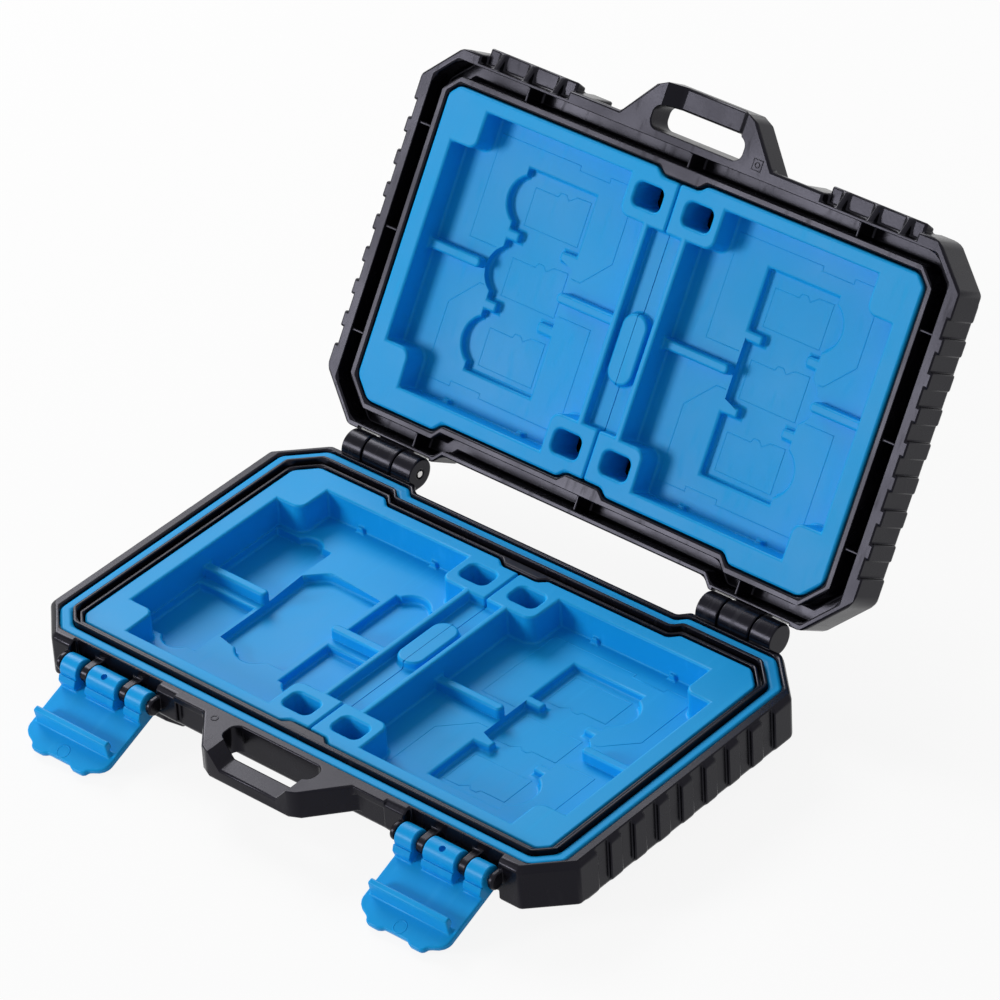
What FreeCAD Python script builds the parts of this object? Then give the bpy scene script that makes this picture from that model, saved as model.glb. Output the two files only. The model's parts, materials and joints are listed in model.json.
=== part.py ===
"""Latched memory card case, shown open: two black shells, blue inserts and seal, two front latches.

The frame is in millimetres with +Z up.  The origin lies on the table under the middle of the
base, X runs along the long side and +Y points to the hinges.  The lid pieces are drawn in the
closed position and are then turned about the hinge line to the open rest position.
"""
import FreeCAD
import Part
import Sketcher
import os

VALUES = {
    # Plan of the insert pair, from which the seal rings and the shells are offset.
    "tray_front": 29.3,
    "tray_rear": 29.2,
    "tray_front_corner": 1.9,
    "tray_rear_corner": 3.7,
    "tray_step": 1.7,
    "ear_inset": 7.0,
    "ear_slope": 1.6,
    "corner_growth_share": 0.586,
    "ear_growth_share": 0.414,
    "tab_root_half": 5.5,
    "tab_tip_half": 4.0,
    "tab_depth": 1.3,
    # Seal rings around the inserts, from the inside out.
    "tray_gap": 0.25,
    "inner_lip": 0.6,
    "lip_groove": 0.5,
    "outer_lip": 0.65,
    "gasket_width": 2.4,
    "gasket_clearance": 0.03,
    "gasket_height": 2.2,
    "lip_groove_depth": 2.6,
    "inner_lip_drop": 0.1,
    "tongue_rise": 0.75,
    # Outer plan of both shells: the rims are measured from the seal ring.
    "side_rim": 2.5,
    "front_rim": 2.1,
    "rear_rim": 0.9,
    "latch_rim": 0.4,
    "middle_rim": 1.2,
    "case_ear_lead": 2.2,
    "recess_half": 10.0,
    "inner_lug_width": 4.6,
    "case_front_corner": 7.0,
    "case_rear_corner": 8.0,
    "shelf_height": 1.4,
    # Heights of the base and of the lid.
    "seal_level": 12.3,
    "rim_rise": 0.3,
    "rim_bevel_height": 0.8,
    "rim_bevel_width": 0.85,
    "base_bevel_height": 4.1,
    "bevel_width": 4.3,
    "rear_bevel_width": 3.0,
    "front_wedge_height": 6.1,
    "floor_thickness": 1.7,
    "lid_gap": 1.0,
    "lid_height": 12.0,
    "lid_side_height": 7.5,
    "lid_inner_wall": 1.35,
    "lid_groove_width": 2.7,
    "lid_groove_depth": 5.0,
    "web_thickness": 0.5,
    "web_drop": 0.5,
    "web_along": 36.5,
    "web_across": 19.5,
    # Upright bands on the short sides.
    "band_pitch": 6.1,
    "band_width": 3.1,
    "band_depth": 0.7,
    # Handle halves.
    "handle_thickness": 5.5,
    "handle_foot": 7.5,
    "handle_shoulder_side": 1.0,
    "handle_tip_inset": 1.1,
    "handle_bar": 3.1,
    "handle_tip": 1.0,
    "slot_root": 0.2,
    "slot_width": 4.3,
    "slot_half": 10.0,
    "slot_radius": 1.7,
    "grip_depth": 2.85,
    "grip_side": 1.2,
    "grip_slope": 2.2,
    # Hinges.
    "hinge_radius": 3.0,
    "hinge_sink": 0.3,
    "hinge_inset": 19.0,
    "hinge_relief": 0.25,
    "knuckle_middle": 6.8,
    "knuckle_end": 4.4,
    "knuckle_gap": 0.25,
    "knuckle_root_depth": 0.55,
    "knuckle_root_drop": 0.4,
    "hinge_pin_radius": 0.65,
    "pin_clearance": 0.05,
    "blind_wall": 1.2,
    "lid_open_angle": 122.58,
    # Inserts.
    "seam_half_gap": 0.05,
    "tray_drop": 0.3,
    "tray_side_rim": 3.7,
    "tray_front_rim": 2.7,
    "tray_rear_rim": 2.9,
    "base_hollow": 1.55,
    "lid_hollow": 2.05,
    "pocket_inner": 4.85,
    "corner_block_length": 5.65,
    "corner_block_width": 7.0,
    "post_length": 5.55,
    "post_width": 7.5,
    "block_radius": 2.0,
    "well_centre": 5.5,
    "well_inset": 2.9,
    "well_length": 5.9,
    "well_width": 4.3,
    "well_radius": 1.3,
    "channel_half": 3.6,
    "channel_end_gap": 0.1,
    "channel_depth": 2.0,
    "boss_half": 2.75,
    "boss_half_length": 6.5,
    "boss_radius": 2.6,
    "boss_centre": 2.2,
    "boss_drop": 0.45,
    "divider_thickness": 1.95,
    "divider_height": 2.1,
    "divider_radius": 0.9,
    "nub_offset": 8.5,
    "nub_width": 1.4,
    "nub_reach": 0.7,
    "nub_height": 1.2,
    "tray_skin": 1.5,
    "skirt": 1.6,
    # Small card places of the three card inserts.
    "card_length": 15.3,
    "card_width": 11.3,
    "card_pitch": 13.1,
    "card_recess_depth": 1.5,
    "card_tab": 1.95,
    "long_tab": 3.4,
    "short_tab": 2.5,
    "scallop_radius": 4.7,
    "scallop_reach": 2.4,
    # Chip card places of the left base insert.
    "chip_recess_depth": 1.6,
    "chip_length": 15.4,
    "chip_half_width": 12.65,
    "chip_corner": 2.7,
    "chip_scallop_shift": 7.8,
    "chip_scallop_radius": 4.08,
    "chip_scallop_reach": 1.9,
    "medium_gap": 0.9,
    "medium_end_gap": 0.4,
    "medium_length": 12.9,
    "medium_width": 15.05,
    "medium_start": 2.55,
    "medium_scallop_shift": 4.9,
    "medium_scallop_radius": 3.09,
    "medium_scallop_reach": 1.5,
    "small_gap": 1.1,
    "small_end_gap": 3.95,
    "small_length": 9.3,
    "small_width": 12.55,
    "small_start": 2.7,
    "small_scallop_shift": 5.0,
    "small_scallop_radius": 3.83,
    "small_scallop_reach": 1.8,
    # Latches, about their own pin line.
    "latch_inset": 21.4,
    "latch_offset": 2.9,
    "latch_drop": 3.1,
    "latch_side_gap": 0.5,
    "latch_grip": 4.6,
    "latch_open_angle": 22.5,
    "latch_tail": 1.0,
    "plate_drop": 1.9,
    "plate_thickness": 1.25,
    "clip_radius": 2.2,
    "clip_gap_start": 3.35,
    "clip_gap": 2.35,
    "toe_reach": 3.35,
    "toe_crest": 2.5,
    "toe_crest_rise": 0.3,
    "toe_notch": 1.75,
    "toe_notch_drop": 0.2,
    "toe_shoulder_drop": 0.7,
    "clip_hole_radius": 0.6,
    "clip_hole_depth": 0.9,
    "hook_play": 0.45,
    "hook_inset": 1.0,
    "hook_nose": 0.6,
    "hook_thickness": 1.15,
    "hook_slope": 0.6,
    "hook_undercut": 1.1,
    "hook_lip": 1.4,
    "hook_height": 2.9,
    "merge_depth": 0.3,
    "lug_clearance": 0.3,
    "lug_radius": 1.6,
    "end_lug_thickness": 1.1,
    "latch_pin_radius": 0.6,
    "latch_pin_setback": 0.3,
    # Catch ledges of the lid.
    "catch_ledge": 3.3,
    "catch_slope": 0.8,
    "catch_near": 2.0,
    "catch_far": 4.9,
    "gusset_offset": 6.7,
    "gusset_thickness": 1.3,
    "gusset_root_drop": 0.2,
    "cut_margin": 1.0,
    "same_place": 0.001,
}

# Free end of the latch plate from its side to its middle, as shares of half width and length.
LATCH_END_SHARES = (
    (1.0, 0.76),
    (0.985, 0.80),
    (0.94, 0.845),
    (0.86, 0.885),
    (0.76, 0.912),
    (0.69, 0.935),
    (0.655, 0.975),
    (0.60, 0.997),
    (0.52, 1.0),
    (0.38, 1.0),
    (0.32, 0.985),
    (0.26, 0.962),
)
BAND_STEPS = (-7, -5, -3, -1, 1, 3, 5, 7)
SIDES = (-1, 1)


class Size:
    """A number together with the sheet expression that gives it."""

    def __init__(self, value, text):
        self.value = value
        self.text = text

    def __neg__(self):
        return Size(-self.value, f"(-{self.text})")

    def __add__(self, other):
        return Size(self.value + other.value, f"({self.text} + {other.text})")

    def __sub__(self, other):
        return Size(self.value - other.value, f"({self.text} - {other.text})")

    def __mul__(self, factor):
        return Size(self.value * factor, f"({self.text} * {factor})")

    def __truediv__(self, factor):
        return Size(self.value / factor, f"({self.text} / {factor})")

    def times(self, other):
        """Product with another named size, such as a share."""
        return Size(self.value * other.value, f"({self.text} * {other.text})")


class Sizes:
    """Gives every named value of the sheet, and every size worked out from them, as a Size."""

    def __getattr__(self, name):
        return Size(VALUES[name], f"sizes.{name}")


ZERO = Size(0.0, "0")
s = Sizes()
doc = FreeCAD.newDocument("card_case")
sheet = doc.addObject("Spreadsheet::Sheet", "sizes")
for row, (alias, number) in enumerate(VALUES.items(), start=1):
    sheet.set(f"A{row}", alias.replace("_", " "))
    sheet.set(f"B{row}", str(number))
    sheet.setAlias(f"B{row}", alias)
doc.recompute()

# The chip places, end to end, set the length of the inserts.
s.small_near = s.pocket_inner + s.small_end_gap
s.small_far = s.small_near + s.small_length
s.small_end = s.small_start + s.small_width
s.small_scallop_at = s.small_near + s.small_scallop_shift
s.chip_near = s.small_far + s.small_gap
s.chip_far = s.chip_near + s.chip_length
s.chip_scallop_at = s.chip_near + s.chip_scallop_shift
s.medium_near = s.chip_far + s.medium_gap
s.medium_far = s.medium_near + s.medium_length
s.medium_end = s.medium_start + s.medium_width
s.medium_scallop_at = s.medium_near + s.medium_scallop_shift
s.pocket_outer = s.medium_far + s.medium_end_gap
s.tray_half_length = s.pocket_outer + s.tray_side_rim
s.card_centre = (s.pocket_inner + s.pocket_outer) / 2
s.card_total_width = s.card_pitch * 2 + s.card_width
s.pocket_front = s.tray_front - s.tray_front_rim
s.pocket_rear = s.tray_rear - s.tray_step - s.tray_rear_rim
s.pocket_half_width = (s.pocket_front + s.pocket_rear) / 2
s.card_shift = (s.pocket_front - s.pocket_rear) / 2
s.well_offset = s.pocket_half_width - s.well_inset
s.channel_half_length = s.pocket_half_width - s.post_width - s.channel_end_gap

# The seal rings lie around the inserts, and the shells around the seal rings.
s.tongue_offset = s.tray_gap + s.inner_lip + s.lip_groove + s.outer_lip
s.gasket_offset = s.tongue_offset + s.gasket_width
s.case_half_length = s.tray_half_length + s.gasket_offset + s.side_rim
s.case_front = s.tray_front + s.gasket_offset + s.front_rim
s.case_rear = s.tray_rear + s.gasket_offset + s.rear_rim
s.latch_wall = s.tray_front + s.gasket_offset + s.latch_rim
s.middle_wall = s.tray_front + s.gasket_offset + s.middle_rim
s.hinge_centre = s.case_half_length - s.hinge_inset
s.hinge_line = s.case_rear + s.hinge_radius - s.hinge_sink
s.knuckle_root = s.case_rear - s.knuckle_root_depth
s.ear_start = s.hinge_centre - s.ear_inset
s.case_ear = s.ear_start - s.case_ear_lead
s.latch_centre = s.case_half_length - s.latch_inset
s.recess_inner = s.latch_centre - s.recess_half
s.recess_outer = s.latch_centre + s.recess_half
s.lug_inner = s.recess_inner - s.inner_lug_width

# Levels of the base and of the closed lid, and the thickness of the inserts between them.
rim_level = s.seal_level + s.rim_rise
lid_level = s.seal_level + s.lid_gap
hinge_level = s.seal_level + s.lid_gap / 2
tongue_top = s.seal_level + s.tongue_rise
gasket_floor = s.seal_level - s.gasket_height
s.latch_level = s.seal_level - s.latch_drop
s.base_tray_thickness = s.seal_level - s.tray_drop - s.floor_thickness
s.lid_tray_thickness = s.lid_height - s.floor_thickness

# The handle stands on the middle of the front wall, around its slot.
s.slot_start = s.middle_wall + s.slot_root
s.slot_end = s.slot_start + s.slot_width
s.handle_shoulder = s.slot_end + s.handle_bar
s.handle_reach = s.handle_shoulder + s.handle_tip
s.handle_root_half = s.slot_half + s.handle_foot
s.handle_shoulder_half = s.slot_half + s.handle_shoulder_side
s.handle_tip_half = s.slot_half - s.handle_tip_inset
s.grip_top_half = s.slot_half - s.grip_side
s.grip_floor_half = s.grip_top_half - s.grip_slope

# Each latch fills its recess, and its hook reaches over the catch ledge of the closed lid.
s.latch_line = s.latch_wall + s.latch_offset
s.latch_half = s.recess_half - s.latch_side_gap
s.lug_thickness = s.clip_gap - s.lug_clearance * 2
s.latch_pin_half = s.recess_half + s.end_lug_thickness - s.latch_pin_setback
s.catch_reach = s.latch_wall + s.catch_ledge
s.catch_foot = s.catch_reach - s.catch_slope
s.hook_tip = lid_level + s.catch_far - s.latch_level + s.hook_play
s.hook_root = s.hook_tip + s.hook_nose
s.hook_back = s.hook_tip + s.hook_thickness
s.hook_foot = s.hook_back + s.hook_slope
s.hook_half = s.latch_half - s.hook_inset
s.latch_length = s.hook_foot + s.latch_grip


def bind(sketch, rules, texts):
    """Adds the constraints and ties each dimension to its sheet expression."""
    places = sketch.addConstraint(rules)
    for place, text in zip(places, texts):
        if text:
            sketch.setExpression(f"Constraints[{place}]", text)


def add_polygon(sketch, points):
    """Closed line loop whose every corner is dimensioned from the sketch origin."""
    first = sketch.GeometryCount
    count = len(points)
    corners = [FreeCAD.Vector(x.value, y.value, 0) for x, y in points]
    lines = [Part.LineSegment(corners[i], corners[(i + 1) % count]) for i in range(count)]
    sketch.addGeometry(lines, False)
    rules = [
        Sketcher.Constraint("Coincident", first + i, 2, first + (i + 1) % count, 1) for i in range(count)
    ]
    texts = [None] * count
    for i, point in enumerate(points):
        for kind, axis, size in zip(("DistanceX", "DistanceY"), (-2, -1), point):
            if size is ZERO:
                rules.append(Sketcher.Constraint("PointOnObject", first + i, 1, axis))
                texts.append(None)
            else:
                rules.append(Sketcher.Constraint(kind, -1, 1, first + i, 1, size.value))
                texts.append(size.text)
    bind(sketch, rules, texts)


def add_circle(sketch, centre_x, centre_y, radius):
    """Circle dimensioned from the sketch origin."""
    index = sketch.GeometryCount
    centre = FreeCAD.Vector(centre_x.value, centre_y.value, 0)
    sketch.addGeometry(Part.Circle(centre, FreeCAD.Vector(0, 0, 1), radius.value), False)
    rules = [Sketcher.Constraint("Radius", index, radius.value)]
    texts = [radius.text]
    for kind, axis, size in (("DistanceX", -2, centre_x), ("DistanceY", -1, centre_y)):
        if size is ZERO:
            rules.append(Sketcher.Constraint("PointOnObject", index, 3, axis))
            texts.append(None)
        else:
            rules.append(Sketcher.Constraint(kind, -1, 1, index, 3, size.value))
            texts.append(size.text)
    bind(sketch, rules, texts)


def add_sketch(body, name, role, level, polygons, circles):
    """Sketch parallel to one origin plane of the body, at a level along its normal."""
    sketch = body.newObject("Sketcher::SketchObject", f"{name}_sketch")
    for datum in body.Origin.OriginFeatures:
        if datum.Role == role:
            sketch.AttachmentSupport = (datum, [""])
    sketch.MapMode = "FlatFace"
    sketch.setExpression("AttachmentOffset.Base.z", level.text)
    for points in polygons:
        add_polygon(sketch, points)
    for centre_x, centre_y, radius in circles:
        add_circle(sketch, centre_x, centre_y, radius)
    sketch.Visibility = False
    return sketch


def pad(body, name, level, length, polygons=(), circles=(), role="XY_Plane"):
    """Adds material from the level along the plane normal."""
    feature_sketch = add_sketch(body, name, role, level, polygons, circles)
    feature = body.newObject("PartDesign::Pad", name)
    feature.Profile = feature_sketch
    feature.setExpression("Length", length.text)


def pocket(body, name, level, length, polygons=(), circles=(), role="XY_Plane", along=False):
    """Removes material from the level against the plane normal, or along it."""
    feature_sketch = add_sketch(body, name, role, level, polygons, circles)
    feature = body.newObject("PartDesign::Pocket", name)
    feature.Profile = feature_sketch
    feature.Reversed = along
    feature.setExpression("Length", length.text)


def loft(body, name, levels, outlines):
    """Ruled solid between two outlines of the same corner count."""
    lower, upper = [
        add_sketch(body, f"{name}_{i}", "XY_Plane", level, [points], ())
        for i, (level, points) in enumerate(zip(levels, outlines))
    ]
    feature = body.newObject("PartDesign::AdditiveLoft", name)
    feature.Profile = lower
    feature.Sections = [upper]
    feature.Ruled = True


def round_upright(body, name, radius, corners):
    """Rounds the upright edges that stand at the given plan corners."""
    doc.recompute()
    base = body.Tip
    limit = VALUES["same_place"]
    picked = []
    for index, edge in enumerate(base.Shape.Edges, start=1):
        ends = [vertex.Point for vertex in edge.Vertexes]
        for x, y in corners:
            if len(ends) == 2 and all(
                abs(point.x - x.value) < limit and abs(point.y - y.value) < limit for point in ends
            ):
                picked.append(f"Edge{index}")
    feature = body.newObject("PartDesign::Fillet", name)
    feature.Base = (base, picked)
    feature.setExpression("Radius", radius.text)


def rectangle(x_start, x_end, y_start, y_end):
    return [(x_start, y_start), (x_end, y_start), (x_end, y_end), (x_start, y_end)]


def new_body(label):
    body = doc.addObject("PartDesign::Body", label)
    body.Label = label
    return body


def on_side(side, size):
    """The size measured to the right or to the left of the middle."""
    return size if side > 0 else -size


# Plan outlines shared by the shells, the seal and the inserts.
def closed_outline(half, front, rear, corners, ear, front_points=(), rear_points=()):
    """Chamfered plan with hinge ears at the rear, drawn from the front left corner."""
    front_corner, rear_corner = corners
    middle = rear - s.tray_step
    ear_foot = ear - s.ear_slope
    points = [(-(half - front_corner), -front)]
    points += front_points
    points += [(half - front_corner, -front), (half, front_corner - front)]
    points += [(half, rear - rear_corner), (half - rear_corner, rear)]
    points += [(ear, rear), (ear_foot, middle)]
    points += rear_points
    points += [(-ear_foot, middle), (-ear, rear)]
    points += [(-(half - rear_corner), rear), (-half, rear - rear_corner), (-half, front_corner - front)]
    return points


def ring_outline(offset, tabs=False):
    """Plan of the insert pair, widened by an offset, with or without the middle tabs."""
    front = s.tray_front + offset
    rear = s.tray_rear + offset
    growth = offset.times(s.corner_growth_share)
    front_points = []
    rear_points = []
    if tabs:
        root = s.tab_root_half - offset
        tip = s.tab_tip_half - offset
        middle = rear - s.tray_step
        front_points = [(-root, -front), (-tip, s.tab_depth - front)]
        front_points += [(tip, s.tab_depth - front), (root, -front)]
        rear_points = [(root, middle), (tip, middle - s.tab_depth)]
        rear_points += [(-tip, middle - s.tab_depth), (-root, middle)]
    return closed_outline(
        s.tray_half_length + offset,
        front,
        rear,
        (s.tray_front_corner + growth, s.tray_rear_corner + growth),
        s.ear_start - offset.times(s.ear_growth_share),
        front_points,
        rear_points,
    )


def case_corners(inset):
    """Front and rear corner cuts of a shell whose sides are inset."""
    growth = inset.times(s.corner_growth_share)
    return s.case_front_corner - growth, s.case_rear_corner - growth


def shell_outline(inset=ZERO):
    """Outer plan of a shell with the latch recesses and the lower middle wall at the front."""
    front = s.case_front - inset
    steps = [
        (s.recess_outer, front),
        (s.recess_outer, s.latch_wall),
        (s.recess_inner, s.latch_wall),
        (s.recess_inner, front),
        (s.lug_inner, front),
        (s.lug_inner, s.middle_wall),
    ]
    front_points = [(-x, -y) for x, y in steps] + [(x, -y) for x, y in reversed(steps)]
    half = s.case_half_length - inset
    return closed_outline(half, front, s.case_rear, case_corners(inset), s.case_ear, front_points)


def bevel_outline(side_inset, rear_inset):
    """Plan of the sloping part of a shell, inset from the side walls."""
    return closed_outline(
        s.case_half_length - side_inset,
        s.latch_wall - side_inset,
        s.case_rear - rear_inset,
        case_corners(side_inset),
        s.case_ear,
    )


def side_bands(body, level, length, along):
    """Upright recessed bands on both short sides."""
    bands = []
    for side in SIDES:
        near = on_side(side, s.case_half_length - s.band_depth)
        far = on_side(side, s.case_half_length + s.cut_margin)
        for step in BAND_STEPS:
            centre = s.band_pitch * step / 2 - s.card_shift
            bands.append(rectangle(near, far, centre - s.band_width / 2, centre + s.band_width / 2))
    pocket(body, "side_bands", level, length, bands, along=along)


def handle_half(body, low, high, grip_top):
    """Handle loop with its slot; the grip recess opens towards the parting plane."""
    half_plan = [
        (s.handle_root_half, s.latch_wall),
        (s.handle_root_half, s.middle_wall),
        (s.handle_shoulder_half, s.handle_shoulder),
        (s.handle_tip_half, s.handle_reach),
    ]
    plan = [(x, -y) for x, y in half_plan] + [(-x, -y) for x, y in reversed(half_plan)]
    pad(body, "handle", low, s.handle_thickness, [plan])
    slot = rectangle(-s.slot_half, s.slot_half, -s.slot_end, -s.slot_start)
    pocket(body, "handle_slot", high, s.handle_thickness, [slot])
    corners = [(x, -y) for x in (-s.slot_half, s.slot_half) for y in (s.slot_start, s.slot_end)]
    round_upright(body, "slot_corners", s.slot_radius, corners)
    opening = high if grip_top else low
    floor = high - s.grip_depth if grip_top else low + s.grip_depth
    grip = [
        (-s.grip_top_half, opening),
        (-s.grip_floor_half, floor),
        (s.grip_floor_half, floor),
        (s.grip_top_half, opening),
    ]
    outside = s.handle_reach + s.cut_margin
    pocket(body, "grip_recess", outside, outside - s.slot_end + s.slot_radius, [grip], role="XZ_Plane")


def shelf_pair(body, low):
    """Rim shelves between the lugs and the handle."""
    shelves = []
    for side in SIDES:
        near = on_side(side, s.handle_root_half - s.cut_margin)
        far = on_side(side, s.lug_inner + s.merge_depth)
        shelves.append(rectangle(near, far, -s.case_front, -s.latch_wall))
    pad(body, "rim_shelves", low, s.shelf_height, shelves)


hinge_bore = s.hinge_pin_radius + s.pin_clearance
barrel_half = s.knuckle_middle / 2 + s.knuckle_gap + s.knuckle_end


def barrel(body, name, x_start, length):
    """Round hinge barrel about the hinge line."""
    pad(body, name, x_start, length, circles=[(s.hinge_line, hinge_level, s.hinge_radius)], role="YZ_Plane")


def hinge_cut(body, name, x_end, length, radius):
    """Round cut about the hinge line that ends at x_end."""
    pocket(body, name, x_end, length, circles=[(s.hinge_line, hinge_level, radius)], role="YZ_Plane")


# Base shell.
base_shell = new_body("base_shell")
loft(
    base_shell,
    "base_bevel",
    [ZERO, s.base_bevel_height],
    [bevel_outline(s.bevel_width, s.rear_bevel_width), bevel_outline(ZERO, ZERO)],
)
rim_foot = rim_level - s.rim_bevel_height
pad(base_shell, "base_wall", s.base_bevel_height, rim_foot - s.base_bevel_height, [shell_outline()])
loft(base_shell, "rim_bevel", [rim_foot, rim_level], [shell_outline(), shell_outline(s.rim_bevel_width)])
wedge_front = -(s.middle_wall + s.cut_margin)
wedge = [
    (wedge_front, s.front_wedge_height + s.cut_margin),
    (wedge_front, -s.cut_margin),
    (s.front_wedge_height - s.middle_wall + s.cut_margin, -s.cut_margin),
]
pocket(base_shell, "front_wedge", s.recess_inner, s.recess_inner * 2, [wedge], role="YZ_Plane")
shelf_pair(base_shell, rim_level - s.shelf_height)
pad(base_shell, "tongue", gasket_floor, tongue_top - gasket_floor, [ring_outline(s.tongue_offset)])
pocket(
    base_shell,
    "gasket_groove",
    rim_level,
    rim_level - gasket_floor,
    [ring_outline(s.gasket_offset), ring_outline(s.tongue_offset)],
)
cavity_plan = ring_outline(s.tray_gap, True)
pocket(base_shell, "base_cavity", tongue_top, tongue_top - s.floor_thickness, [cavity_plan])
inner_lip_offset = s.tray_gap + s.inner_lip
pocket(
    base_shell,
    "lip_groove",
    tongue_top,
    s.lip_groove_depth,
    [ring_outline(inner_lip_offset + s.lip_groove), ring_outline(inner_lip_offset)],
)
inner_lip_top = s.seal_level - s.inner_lip_drop
pocket(base_shell, "inner_lip", tongue_top, tongue_top - inner_lip_top, [ring_outline(inner_lip_offset)])
handle_half(base_shell, rim_level - s.handle_thickness, rim_level, True)

# Base hinge knuckles: both ends of each barrel, tied to the wall by short roots.
barrel_end = s.hinge_centre + barrel_half
relief_half = s.knuckle_middle / 2 + s.knuckle_gap
relief_radius = s.hinge_radius + s.hinge_relief
roots = []
for side in SIDES:
    word = "right" if side > 0 else "left"
    centre = on_side(side, s.hinge_centre)
    barrel(base_shell, f"base_barrel_{word}", centre - barrel_half, barrel_half * 2)
    for end in SIDES:
        x_start = centre + on_side(end, relief_half)
        x_end = centre + on_side(end, barrel_half)
        roots.append(rectangle(x_start, x_end, s.knuckle_root, s.hinge_line))
root_height = s.hinge_radius - s.knuckle_root_drop
pad(base_shell, "base_knuckle_roots", hinge_level - s.hinge_radius, root_height, roots)
for side in SIDES:
    word = "right" if side > 0 else "left"
    relief_end = on_side(side, s.hinge_centre) + relief_half
    hinge_cut(base_shell, f"hinge_relief_{word}", relief_end, relief_half * 2, relief_radius)
bore_end = barrel_end - s.blind_wall
hinge_cut(base_shell, "base_bores", bore_end, bore_end * 2, hinge_bore)

# Base lugs that carry the latch pins: two between the clips and one at each end of a latch.
lug_step = s.clip_gap_start + s.clip_gap / 2
lug_half = s.lug_thickness / 2
lug_disc = (-s.latch_line, s.latch_level, s.lug_radius)
row_half = (s.recess_outer - s.recess_inner) / 2
bays = []
arms = []
for side in SIDES:
    word = "right" if side > 0 else "left"
    centre = on_side(side, s.latch_centre)
    row_start = centre - row_half - s.end_lug_thickness
    row_length = (row_half + s.end_lug_thickness) * 2
    pad(base_shell, f"lug_row_{word}", row_start, row_length, circles=[lug_disc], role="YZ_Plane")
    bay_front = -(s.latch_line + s.lug_radius + s.cut_margin)
    bay_half = lug_step - lug_half
    bays.append(rectangle(centre - bay_half, centre + bay_half, bay_front, -s.latch_wall))
    for end in SIDES:
        middle = centre + on_side(end, lug_step)
        bay_start = middle + on_side(end, lug_half)
        bays.append(rectangle(bay_start, centre + on_side(end, row_half), bay_front, -s.latch_wall))
        arms.append(
            rectangle(middle - lug_half, middle + lug_half, -s.latch_line, s.merge_depth - s.latch_wall)
        )
        arms.append(
            rectangle(
                centre + on_side(end, row_half),
                centre + on_side(end, row_half + s.end_lug_thickness),
                -s.latch_line,
                s.merge_depth - s.case_front,
            )
        )
bay_top = s.latch_level + s.lug_radius + s.cut_margin
pocket(base_shell, "clip_bays", bay_top, (s.lug_radius + s.cut_margin) * 2, bays)
pad(base_shell, "lug_arms", s.latch_level, s.lug_radius, arms)
for side in SIDES:
    word = "right" if side > 0 else "left"
    pocket(
        base_shell,
        f"latch_bore_{word}",
        on_side(side, s.latch_centre) + s.latch_pin_half,
        s.latch_pin_half * 2,
        circles=[(-s.latch_line, s.latch_level, s.latch_pin_radius + s.pin_clearance)],
        role="YZ_Plane",
    )
side_bands(base_shell, rim_level, rim_level, False)

# Seal ring of the base.
base_gasket = new_body("base_gasket")
pad(
    base_gasket,
    "gasket_ring",
    gasket_floor,
    s.gasket_height,
    [
        ring_outline(s.gasket_offset - s.gasket_clearance),
        ring_outline(s.tongue_offset + s.gasket_clearance),
    ],
)

# Lid shell, drawn closed.
lid_shell = new_body("lid_shell")
lid_bevel_level = lid_level + s.lid_side_height
lid_top = lid_level + s.lid_height
pad(lid_shell, "lid_wall", lid_level, s.lid_side_height, [shell_outline()])
loft(
    lid_shell,
    "lid_bevel",
    [lid_bevel_level, lid_top],
    [bevel_outline(ZERO, ZERO), bevel_outline(s.bevel_width, s.bevel_width)],
)
shelf_pair(lid_shell, lid_level)
pocket(
    lid_shell,
    "lid_cavity",
    lid_level,
    s.lid_height - s.floor_thickness,
    [cavity_plan],
    along=True,
)
lid_groove_inner = s.tray_gap + s.lid_inner_wall
lid_groove_outer = lid_groove_inner + s.lid_groove_width
pocket(
    lid_shell,
    "lid_groove",
    lid_level,
    s.lid_groove_depth,
    [ring_outline(lid_groove_outer), ring_outline(lid_groove_inner)],
    along=True,
)

# Thin webs across the lid groove, three on every side.
webs = []
wall_merge = s.merge_depth
for step in (-1, 0, 1):
    x_middle = s.web_along * step
    x_low = x_middle - s.web_thickness / 2
    x_high = x_middle + s.web_thickness / 2
    front_in = s.tray_front + lid_groove_inner - wall_merge
    front_out = s.tray_front + lid_groove_outer + wall_merge
    webs.append(rectangle(x_low, x_high, -front_out, -front_in))
    rear_step = ZERO if step else s.tray_step
    rear_in = s.tray_rear + lid_groove_inner - wall_merge - rear_step
    rear_out = s.tray_rear + lid_groove_outer + wall_merge - rear_step
    webs.append(rectangle(x_low, x_high, rear_in, rear_out))
    y_middle = s.web_across * step - s.card_shift
    for side in SIDES:
        x_in = on_side(side, s.tray_half_length + lid_groove_inner - wall_merge)
        x_out = on_side(side, s.tray_half_length + lid_groove_outer + wall_merge)
        webs.append(rectangle(x_in, x_out, y_middle - s.web_thickness / 2, y_middle + s.web_thickness / 2))
pad(lid_shell, "groove_webs", lid_level + s.web_drop, s.lid_groove_depth - s.web_drop + wall_merge, webs)
handle_half(lid_shell, lid_level, lid_level + s.handle_thickness, False)

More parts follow.
